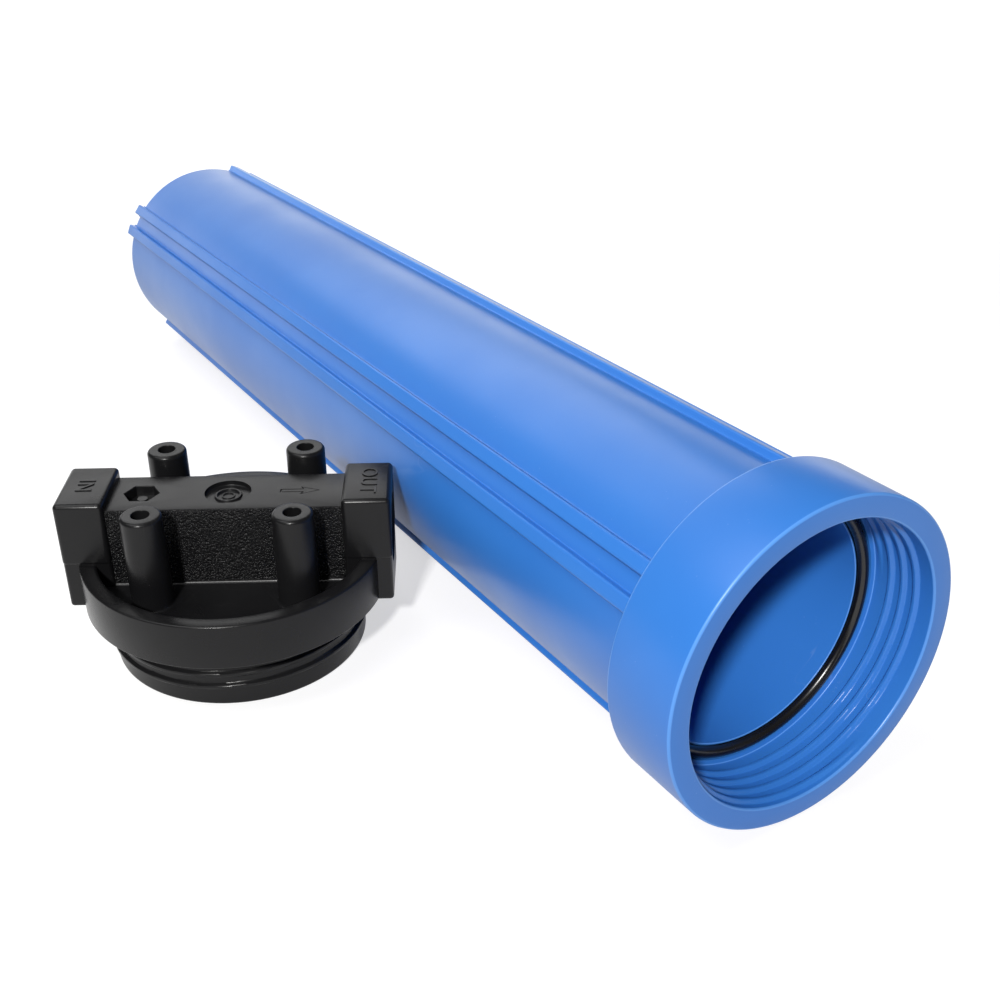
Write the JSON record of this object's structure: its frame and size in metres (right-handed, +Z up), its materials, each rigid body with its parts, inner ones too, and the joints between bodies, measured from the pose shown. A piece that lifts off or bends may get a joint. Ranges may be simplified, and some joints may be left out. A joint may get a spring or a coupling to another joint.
{
  "type": "cartridge filter housing",
  "caption": "Slim water filter housing, opened: a ribbed blue sump lying on its side with its seal ring in the mouth, and the black ported head standing beside it on its threaded neck.",
  "frame": {"origin": "centre of the whole arrangement's footprint, on the surface it stands on", "axes": "+Z up, -Y out of the sump's mouth, the head on the -X side of the sump"},
  "size_m": [0.2332, 0.515, 0.1186],
  "materials": {
    "blue_polypropylene": "satin-gloss moulded polypropylene",
    "black_rubber": "greased smooth rubber",
    "black_polypropylene": "satin moulded polypropylene, the bar's sides grained"
  },
  "bodies": {
    "sump": {"sump": "blue_polypropylene"},
    "o_ring": {"o_ring": "black_rubber"},
    "head": {"head": "black_polypropylene"}
  },
  "joints": [
    {"name": "head_lift", "type": "slide", "parent": "sump", "child": "head", "axis": [0, 0, 1], "range_m": [0, 0.15]},
    {"name": "o_ring_pull", "type": "slide", "parent": "sump", "child": "o_ring", "axis": [0, -0.9998, 0.0208], "range_m": [0, 0.06]}
  ]
}
